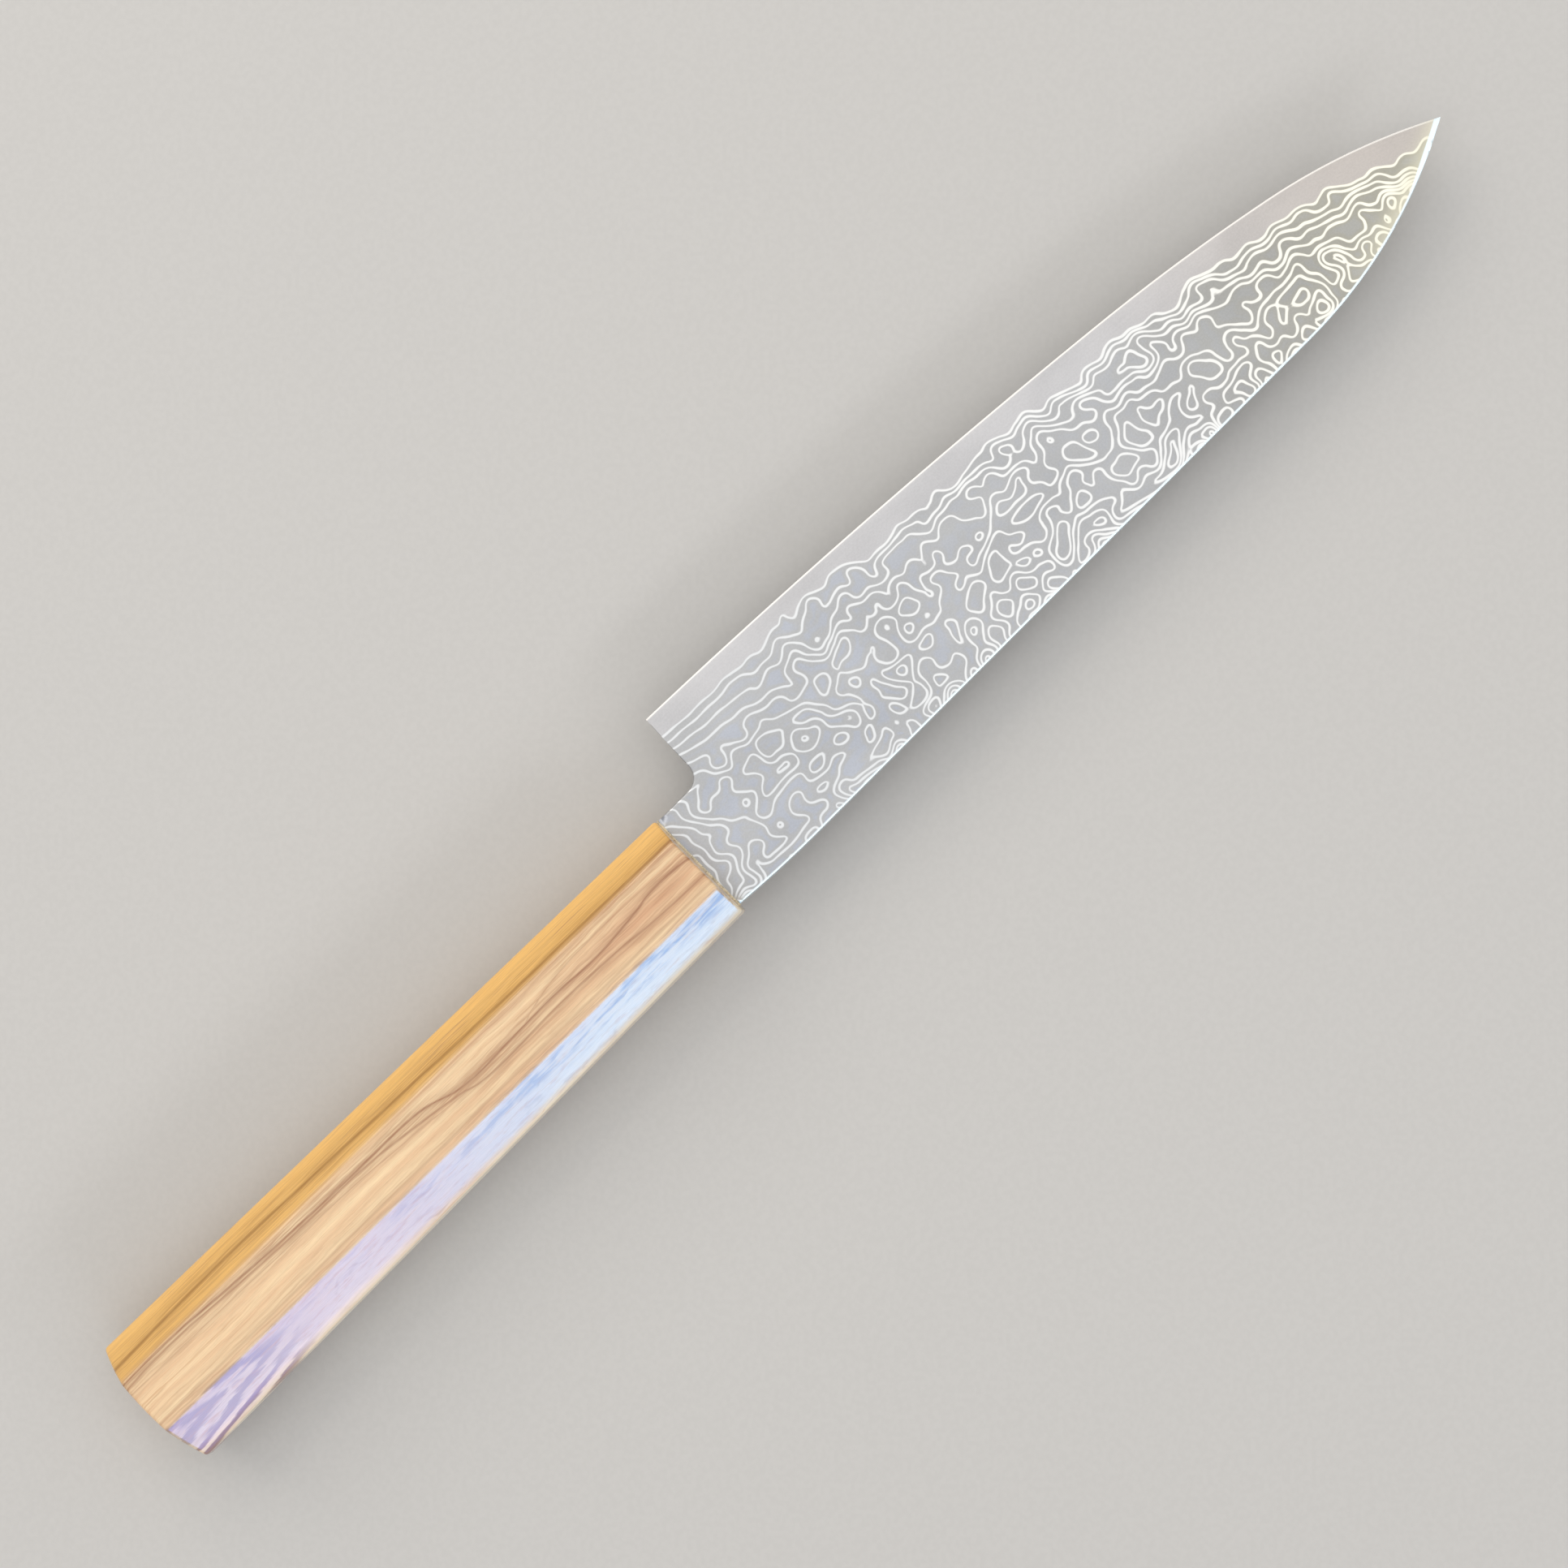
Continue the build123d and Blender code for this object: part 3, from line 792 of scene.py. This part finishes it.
def makeLayeredGroup(c, levelGroup):
    outputs = [("Color", "Color"), ("Roughness", "Float"), ("Height", "Float")]
    inputs = [("Place", "Vector", None), ("Map", "Vector", None)]
    tree, n, given, out = newGroup("layeredSteel", inputs, outputs)
    s, d, e = n.split(given["Map"])
    x, _, z = n.split(given["Place"])
    side = n.math("GREATER_THAN", z, 0.0)
    # a line runs where the level is halfway between two layers, equally wide on steep and gentle slopes
    h = c["step"]
    level = useGroup(n, levelGroup, Along=s, FromEdge=d, FromSpine=e, Side=side)[0]
    ahead = useGroup(n, levelGroup, Along=n.add(s, h), FromEdge=d, FromSpine=e, Side=side)[0]
    above = useGroup(n, levelGroup, Along=s, FromEdge=n.add(d, h), FromSpine=n.add(e, -h), Side=side)[0]
    slopeS = n.times(n.minus(ahead, level), 1 / h)
    slopeD = n.times(n.minus(above, level), 1 / h)
    slope = n.math("SQRT", n.add(n.times(slopeS, slopeS), n.times(slopeD, slopeD)))
    slope = n.higher(slope, 0.12)
    offLine = n.math("ABSOLUTE", n.add(n.math("FRACT", n.add(level, 20.0)), -0.5))
    offLine = n.share(offLine, slope)
    uneven = n.noise(n.combine(s, d, 3.0), 0.35)
    width = n.stretch(uneven, 0.3, 0.7, c["lineWidth"] * 0.8, c["lineWidth"] * 1.2)
    width = n.times(width, n.stretch(s, *c["lineRun"], 1.0, c["tipLine"]))
    line = n.stretch(offLine, n.add(width, -c["lineSoft"]), n.add(width, c["lineSoft"]), 1.0, 0.0)
    line = n.times(line, n.math("GREATER_THAN", level, 0.0))
    field = n.stretch(level, 0.4, 0.6)
    # painted reflection tints: cool lavender on the open ground near the heel, warm cream on the ground,
    # band and lines toward the tip
    toTip = n.stretch(s, *c["tipRun"])
    toHeel = n.stretch(s, *c["openRun"], 1.0, 0.0)
    haze = n.noise(n.scaled(given["Place"], 0.05, 0.09, 0.2), 1.0, 2.0)
    ground = n.mix(toTip, c["ground"], c["warmGround"])
    coolReflectionShare = n.times(n.stretch(offLine, *c["openWidth"]), n.stretch(toHeel, 0.0, 1.0, 0.25, 1.0))
    ground = n.mix(coolReflectionShare, ground, c["open"])
    lineColor = n.mix(n.stretch(s, *c["heelLineRun"]), c["heelLine"], c["lineColor"])
    lineColor = n.mix(n.stretch(s, *c["warmLineRun"]), lineColor, c["warmLine"])
    color = n.mix(field, n.mix(toTip, c["band"], c["warmBand"]), ground)
    # brushing along the blade, fine grit, and a slow drift of tone
    streaks = n.noise(n.combine(n.times(s, 0.12), n.times(d, 3.0), side), 1.0, 3.0, 0.6)
    grit = n.noise(n.scaled(given["Place"], 3.0, 3.0, 3.0), 1.0, 2.0)
    tone = n.add(n.stretch(haze, 0.3, 0.7, 0.95, 1.05), n.stretch(streaks, 0.3, 0.7, -0.02, 0.02))
    tone = n.add(tone, n.stretch(grit, 0.3, 0.7, -0.03, 0.03))
    tone = n.add(tone, n.times(n.times(n.gauss(n.add(s, -c["dimPlace"]), c["dimWidth"]), field), c["dim"]))
    color = n.tinted(color, tone)
    color = n.mix(line, color, lineColor)
    # polished micro-bevel along the cutting edge, painted as a bright warm-white highlight
    microBevelHighlight = n.stretch(d, c["edgeWidth"] - c["edgeSoft"], c["edgeWidth"] + c["edgeSoft"], 1.0, 0.0)
    microBevelHighlight = n.times(microBevelHighlight, n.math("GREATER_THAN", x, c["polishFrom"]))
    color = n.mix(microBevelHighlight, color, c["edgeHighlightColor"])
    # painted sheen: a warm cream glow along the spine toward the tip
    nearSpine = n.times(n.gauss(e, c["tipSheenWidth"]), n.stretch(s, *c["tipSheenRun"]))
    color = n.mix(n.times(nearSpine, c["tipSheenShare"]), color, c["tipSheen"])
    # polished spine painted as a cyan-white reflection highlight, widening near the tip
    spineWidth = n.stretch(s, *c["spineRun"], c["spineWidth"], c["tipSpineWidth"])
    spineHighlight = n.stretch(n.minus(e, spineWidth), -c["spineSoft"], c["spineSoft"], 1.0, 0.0)
    spineHighlight = n.times(spineHighlight, n.math("GREATER_THAN", x, c["polishFrom"]))
    color = n.mix(spineHighlight, color, c["spineHighlightColor"])
    rough = n.blend(field, c["bandRough"], n.blend(line, c["lineRough"], c["fieldRough"]))
    rough = n.add(rough, n.stretch(streaks, 0.3, 0.7, -0.03, 0.03))
    rough = n.blend(n.higher(microBevelHighlight, spineHighlight), rough, c["polishRough"])
    height = n.add(n.times(line, 0.5), n.times(streaks, 0.25))
    for value, name in ((color, "Color"), (rough, "Roughness"), (height, "Height")):
        tree.links.new(value, out[name])
    return tree


levelGroup = makeLevelGroup(layers)
layeredGroup = makeLayeredGroup(layers, levelGroup)


def makeSteel(name):
    material, n, shader = newMaterial(name, Metallic=1.0)
    bladeMap = n.put("ShaderNodeAttribute", (), attribute_name="bladeMap").outputs["Vector"]
    made = useGroup(n, layeredGroup, Place=drawingCoordinates(n), Map=bladeMap)
    connect(n, shader, made["Color"], made["Roughness"], made["Height"], 0.35, 0.00002)
    return material


claddingSteel = makeSteel("etchedLayeredSteel")
bandSteel = makeSteel("cuttingCoreSteel")
core.data.materials.append(bandSteel)
upper.data.materials.append(claddingSteel)
lower.data.materials.append(claddingSteel)
print("blade steel made")


# the wood; offset counts in mm from the facet line towards the spine
wood = {
    "facetLine": 5.75,  # from the axis to the corner between the top and the edge-side facet
    "topDepth": 8.5, "spineFacet": (11.0, 12.4), "spineFacetEnd": (18.0, 16.6),
    "blushPlace": (-13.0, 5.6), "blushSize": (17.0, 2.3), "knotPlace": (-7.0, 5.7), "knotSize": (6.5, 1.7),
    "flamePlace": (-140.5, 13.6), "flameRun": (-104.0, -122.0), "shadeThreadPlace": 13.0, "shadeThreadWidth": 1.7,
    "haloWidth": 5.0, "haloShare": 0.55,
    "cream": (0.82, 0.60, 0.34), "tan": (0.70, 0.44, 0.235), "amber": (0.89, 0.50, 0.105),
    "brown": (0.28, 0.105, 0.033), "rust": (0.50, 0.25, 0.10), "olive": (0.36, 0.16, 0.01),
    "blush": (0.66, 0.34, 0.17), "flame": (0.21, 0.085, 0.06), "shadow": (0.10, 0.08, 0.13),
    "spineSide": (0.44, 0.34, 0.21),
}

# streaks of the grain on the top, as (x, distance from the facet line) in mm: line, width, strength
streaks = (
    ([(-141, 1.6), (-129, 1.0), (-112, 1.9), (-96, 2.6), (-82, 2.8), (-68, 4.2), (-59, 5.6), (-53, 6.8),
      (-35, 6.6), (-21, 7.1), (-13, 7.8), (0, 8.2)], 0.34, 0.85),
    ([(-141, 0.4), (-129, 0.2), (-112, 1.2), (-96, 2.0), (-82, 2.3), (-68, 2.5), (-56, 5.1), (-47, 5.0),
      (-33, 4.8), (-26, 5.2), (-14, 4.4), (-8, 3.6), (0, 4.2)], 0.36, 1.0),
    ([(-141, 2.6), (-100, 3.4), (-84, 3.9), (-70, 4.9), (-50, 6.2), (-38, 3.5), (-31, 2.4), (-26, 2.1),
      (0, 2.8)], 0.16, 0.6),
    ([(-141, -3.0), (-110, -3.6), (-90, -3.0), (-68, -2.2), (-40, -1.2), (-20, -0.9), (0, -0.5)], 0.5, 1.1),
    ([(-141, -5.6), (-110, -5.2), (-68, -4.6), (-30, -3.6), (0, -3.0)], 0.3, 0.35),
    ([(-141, -0.9), (-110, -0.7), (-68, 0.3), (-30, 0.6), (0, 1.0)], 0.3, 0.45),
    ([(-141, 14.6), (-90, 14.4), (-50, 13.6), (-30, 13.9), (0, 14.4)], 0.4, 0.5),
)


def makeOliveWood(c, streaks):
    material, n, shader = newMaterial("oliveWood", Coat_Weight=0.75, Coat_Roughness=0.13, Coat_IOR=1.55)
    place = drawingCoordinates(n)
    x, y, z = n.split(place)
    # the grain leans with depth, so every facet shows its own cut through the same streaks
    axis = n.stretch(x, 0.0, -handle["length"], handle["frontAxis"], handle["rearAxis"], smooth=False)
    depth = n.add(n.times(n.minus(n.math("ABSOLUTE", z), c["topDepth"]), 0.8), n.times(z, 0.3))
    offset = n.minus(n.add(axis, c["facetLine"]), y)
    offset = n.add(offset, n.times(n.math("MINIMUM", z, 0.0), 0.25))
    sway = n.sway(n.noise(n.scaled(place, 0.035, 0.12, 0.12), 1.0, 1.0), 1.1)
    ripple = n.sway(n.noise(n.scaled(place, 0.22, 0.5, 0.4), 1.0, 1.0), 0.5)
    across = n.add(n.add(offset, n.times(sway, 0.8)), n.add(ripple, depth))
    bandPlace = n.combine(n.times(x, 0.008), n.add(across, n.times(sway, 1.5)), n.times(z, 0.03))
    bands = n.noise(bandPlace, 0.42, 3.0, 0.55)

    def grain(along, place, wide, deep, *detail):
        return n.noise(n.combine(n.times(x, along), n.times(place, wide), n.times(z, deep)), 1.0, *detail)

    def patch(middle, size):
        # soft oval patch, its middle and size as (x, offset)
        along = n.gauss(n.add(x, -middle[0]), size[0])
        return n.times(along, n.gauss(n.add(offset, -middle[1]), size[1]))

    fine = grain(0.09, across, 2.6, 1.2, 3.0, 0.6)
    fibre = grain(0.22, y, 7.0, 7.0, 2.0, 0.6)
    pores = grain(0.7, y, 9.0, 9.0, 1.0)
    color = n.mix(n.stretch(bands, 0.36, 0.66), c["cream"], c["tan"])
    toAmber = n.stretch(offset, 0.5, -1.2)
    color = n.mix(n.times(toAmber, 0.85), color, c["amber"])
    blush = patch(c["blushPlace"], c["blushSize"])
    color = n.mix(n.times(blush, 0.7), color, c["blush"])
    # thin brown lines that come and go
    rings = n.math("PINGPONG", n.add(n.times(across, 0.55), n.times(bands, 5.0)), 0.5)
    ringLine = n.times(n.stretch(rings, 0.08, 0.0), n.stretch(fine, 0.4, 0.6))
    onTop = n.times(n.stretch(z, 7.0, 8.6), n.stretch(offset, 12.5, 11.0))
    color = n.mix(n.times(ringLine, n.blend(onTop, 0.75, 0.4)), color, c["rust"])
    color = n.mix(n.times(n.stretch(fine, 0.52, 0.74), 0.35), color, c["rust"])
    dark = None
    wobble = n.sway(fine, 0.5)
    strands = n.stretch(fine, 0.36, 0.6, 0.45, 1.25)
    for line, width, strength in streaks:
        centre = n.line(x, line, (-handle["length"], 0), (-8.0, 10.0))
        away = n.minus(n.add(offset, wobble), centre)
        body = n.times(n.gauss(away, width), strength)
        halo = n.times(n.times(n.gauss(away, width * c["haloWidth"]), strength * c["haloShare"]), strands)
        mark = n.higher(body, halo)
        dark = mark if dark is None else n.higher(dark, mark)
    knot = patch(c["knotPlace"], c["knotSize"])
    dark = n.higher(dark, n.times(knot, n.stretch(fine, 0.3, 0.65, 0.25, 0.55)))
    dark = n.times(dark, n.stretch(fibre, 0.25, 0.6, 0.65, 1.0))
    dark = n.times(dark, n.stretch(z, -6.0, 2.0, 0.85, 1.0))
    streakColor = n.mix(toAmber, c["brown"], c["olive"])
    color = n.mix(n.math("MULTIPLY", dark, 0.95, clamp=True), color, streakColor)
    # flame figure at the butt on the spine side
    apart = n.math("ABSOLUTE", n.add(offset, n.add(n.times(sway, 1.5), -c["flamePlace"][1])))
    flame = n.add(n.times(n.add(x, -c["flamePlace"][0]), 0.06), n.times(n.math("POWER", apart, 1.3), 0.26))
    flame = n.math("PINGPONG", n.add(flame, n.times(fine, 0.9)), 0.5)
    flameMask = n.times(n.stretch(x, *c["flameRun"]), n.stretch(offset, 10.8, 12.0))
    flameLine = n.times(n.stretch(flame, 0.34, 0.14), flameMask)
    color = n.mix(n.times(flameLine, 0.9), color, c["flame"])
    spineSide = n.times(n.stretch(offset, *c["spineFacet"]), n.stretch(offset, *c["spineFacetEnd"]))
    color = n.mix(n.times(spineSide, 0.5), color, c["spineSide"])
    short = n.noise(n.combine(n.times(x, 0.16), n.times(offset, 1.5), 9.0), 1.0, 3.0, 0.65)
    color = n.mix(n.times(n.times(spineSide, n.stretch(short, 0.5, 0.7)), 0.6), color, c["rust"])
    # painted shade: broken dark lavender-blue threads just past the spine-side corner, toward the blade
    shadeThreads = n.gauss(n.add(offset, -c["shadeThreadPlace"]), c["shadeThreadWidth"])
    shadeThreads = n.times(shadeThreads, n.stretch(x, -85.0, -15.0, 0.3, 1.0))
    shadeThreads = n.times(shadeThreads, n.stretch(fine, 0.42, 0.68, 0.0, 0.75))
    color = n.mix(n.times(shadeThreads, n.stretch(z, 0.0, 3.0)), color, c["shadow"])
    tone = n.add(n.stretch(fibre, 0.3, 0.7, 0.93, 1.06), n.stretch(pores, 0.62, 0.74, 0.0, -0.07))
    color = n.tinted(color, tone)
    rough = n.add(n.stretch(fibre, 0.3, 0.7, 0.34, 0.46), n.times(dark, 0.06))
    ridges = n.times(fibre, 0.5)
    pits = n.times(n.stretch(pores, 0.6, 0.74), -0.6)
    height = n.add(ridges, n.add(pits, n.times(fine, 0.3)))
    connect(n, shader, color, rough, height, 0.35, 0.00004)
    return material


oliveWood = makeOliveWood(wood, streaks)
handlePiece.data.materials.append(oliveWood)
print("olive wood made")


glue = {"cream": (0.72, 0.62, 0.44), "grime": (0.16, 0.13, 0.10)}


def makeAdhesive(c):
    material, n, shader = newMaterial("epoxyBead", Coat_Weight=0.3, Coat_Roughness=0.25)
    place = drawingCoordinates(n)
    lumps = n.noise(place, 0.9, 3.0)
    specks = n.noise(place, 3.4, 2.0)
    color = n.mix(n.stretch(lumps, 0.42, 0.62), c["cream"], tuple(v * 0.7 for v in c["cream"]))
    color = n.mix(n.times(n.stretch(specks, 0.54, 0.68), 0.8), color, c["grime"])
    rough = n.stretch(lumps, 0.3, 0.7, 0.35, 0.6)
    connect(n, shader, color, rough, n.add(lumps, n.times(specks, 0.4)), 0.5, 0.0001)
    return material


adhesive = makeAdhesive(glue)
beadPiece.data.materials.append(adhesive)
packed = bpy.data.objects["tang_adhesive"]
for slot in packed.material_slots:
    slot.material = adhesive
print("adhesive made")


# floor and light, in metres
studio = {
    "floorSize": 40.0, "floorSteps": 24, "floorDrop": 0.0002, "floorColor": (0.53, 0.525, 0.52),
    "worldColor": (1.0, 0.985, 0.96), "worldStrength": 0.75,
    "overheadPlace": (0.05, 0.05, 1.35), "overheadSize": (1.5, 1.5), "overheadRadiance": 0.55,
    "overheadColor": (1.0, 0.99, 0.97),
    "sideDistance": 2.6, "sideWidth": 1.4, "sideHeight": 0.8, "sideSplit": -0.47,
    "skyRadiance": 10.5, "skyColor": (0.10, 0.50, 1.0),
    "violetRadiance": 7.6, "violetColor": (0.25, 0.29, 0.92),
    "stripPlace": (0.2, -2.6, 1.5), "stripSize": (3.0, 0.47), "stripRadiance": 4.0, "stripColor": (1, 1, 1),
    "fillPlace": (0.0, 1.0, 0.8), "fillSize": (1.2, 0.8), "fillRadiance": 1.9,
    "fillColor": (1.0, 0.93, 0.82),
}
# target and distance in the drawing frame's mm, angles in degrees
camera = {
    "lens": 100.0, "sensor": 36.0, "target": (21.232, 10.693, -0.034), "distance": 789.58,
    "tilt": 5.841, "turn": 1.734, "roll": 45.083,
}


def makeFloor(c):
    # a wide flat sheet of matt paper just under the knife
    steps, size = c["floorSteps"], c["floorSize"]
    points = [((i / steps - 0.5) * size, (j / steps - 0.5) * size, cadLow[2] - c["floorDrop"])
              for i in range(steps + 1) for j in range(steps + 1)]
    faces = gridFaces(steps + 1, steps + 1, closedColumns=False)
    mesh = bpy.data.meshes.new("studioFloor")
    mesh.from_pydata(points, [], faces)
    floor = bpy.data.objects.new("studioFloor", mesh)
    bpy.context.scene.collection.objects.link(floor)
    material, n, shader = newMaterial("paperSweep", Roughness=0.9, Specular_IOR_Level=0.2)
    place = n.put("ShaderNodeTexCoord").outputs["Object"]
    grain = n.noise(place, 900.0, 2.0)
    tone = n.stretch(grain, 0.3, 0.7, 0.985, 1.015)
    color = n.tinted(c["floorColor"], tone)
    n.tree.links.new(color, shader.inputs["Base Color"])
    mesh.materials.append(material)


def areaLight(name, position, aim, size, radiance, color, only=None):
    # a soft panel; with only, it lights that one piece and leaves the rest alone
    light = bpy.data.lights.new(name, "AREA")
    light.shape = "RECTANGLE"
    light.size, light.size_y = size
    light.energy = radiance * math.pi * size[0] * size[1]
    light.color = color
    lamp = bpy.data.objects.new(name, light)
    lamp.location = position
    lamp.visible_camera = False
    lamp.rotation_euler = (Vector(aim) - Vector(position)).to_track_quat("-Z", "Y").to_euler()
    bpy.context.scene.collection.objects.link(lamp)
    if only is not None:
        lit = bpy.data.collections.new(name + "Receivers")
        lit.objects.link(only)
        lamp.light_linking.receiver_collection = lit


def makeCamera(c):
    tilt, turn, roll = (math.radians(c[k]) for k in ("tilt", "turn", "roll"))
    back = Vector((math.sin(turn) * math.cos(tilt), -math.sin(tilt), math.cos(tilt) * math.cos(turn)))
    back = back.normalized()
    level = (Vector((1, 0, 0)) - back * back.x).normalized()
    lift = back.cross(level)
    right = level * math.cos(roll) - lift * math.sin(roll)
    up = level * math.sin(roll) + lift * math.cos(roll)
    data = bpy.data.cameras.new("camera")
    data.lens, data.sensor_width = c["lens"], c["sensor"]
    data.clip_start = 0.01
    eye = bpy.data.objects.new("camera", data)
    eye.matrix_world = Matrix((right, up, back)).transposed().to_4x4()
    eye.location = drawingOrigin + (Vector(c["target"]) + back * c["distance"]) * mm
    bpy.context.scene.collection.objects.link(eye)
    bpy.context.scene.camera = eye


def makeWorld(c):
    world = bpy.data.worlds.new("softStudio")
    bpy.context.scene.world = world
    world.use_nodes = True
    background = world.node_tree.nodes["Background"]
    background.inputs[0].default_value = (*c["worldColor"], 1.0)
    background.inputs[1].default_value = c["worldStrength"]


makeCamera(camera)
makeFloor(studio)
makeWorld(studio)
areaLight("overhead", studio["overheadPlace"], (0, 0, 0), studio["overheadSize"],
          studio["overheadRadiance"], studio["overheadColor"])
sideSize = (studio["sideWidth"], studio["sideHeight"])
for name, where in (("sky", 0.5), ("violet", -0.5)):
    aim = Vector((studio["sideSplit"] + where * studio["sideWidth"], 0, studio["sideHeight"] / 2))
    place = aim - Vector((0, studio["sideDistance"], 0))
    areaLight(name + "Panel", place, aim, sideSize, studio[name + "Radiance"], studio[name + "Color"],
              handlePiece)
areaLight("whiteStrip", studio["stripPlace"], (0, 0, 0), studio["stripSize"], studio["stripRadiance"],
          studio["stripColor"])
areaLight("warmFill", studio["fillPlace"], (0, 0, 0), studio["fillSize"], studio["fillRadiance"],
          studio["fillColor"])
bpy.context.scene.view_settings.view_transform = "Standard"
print("studio made")
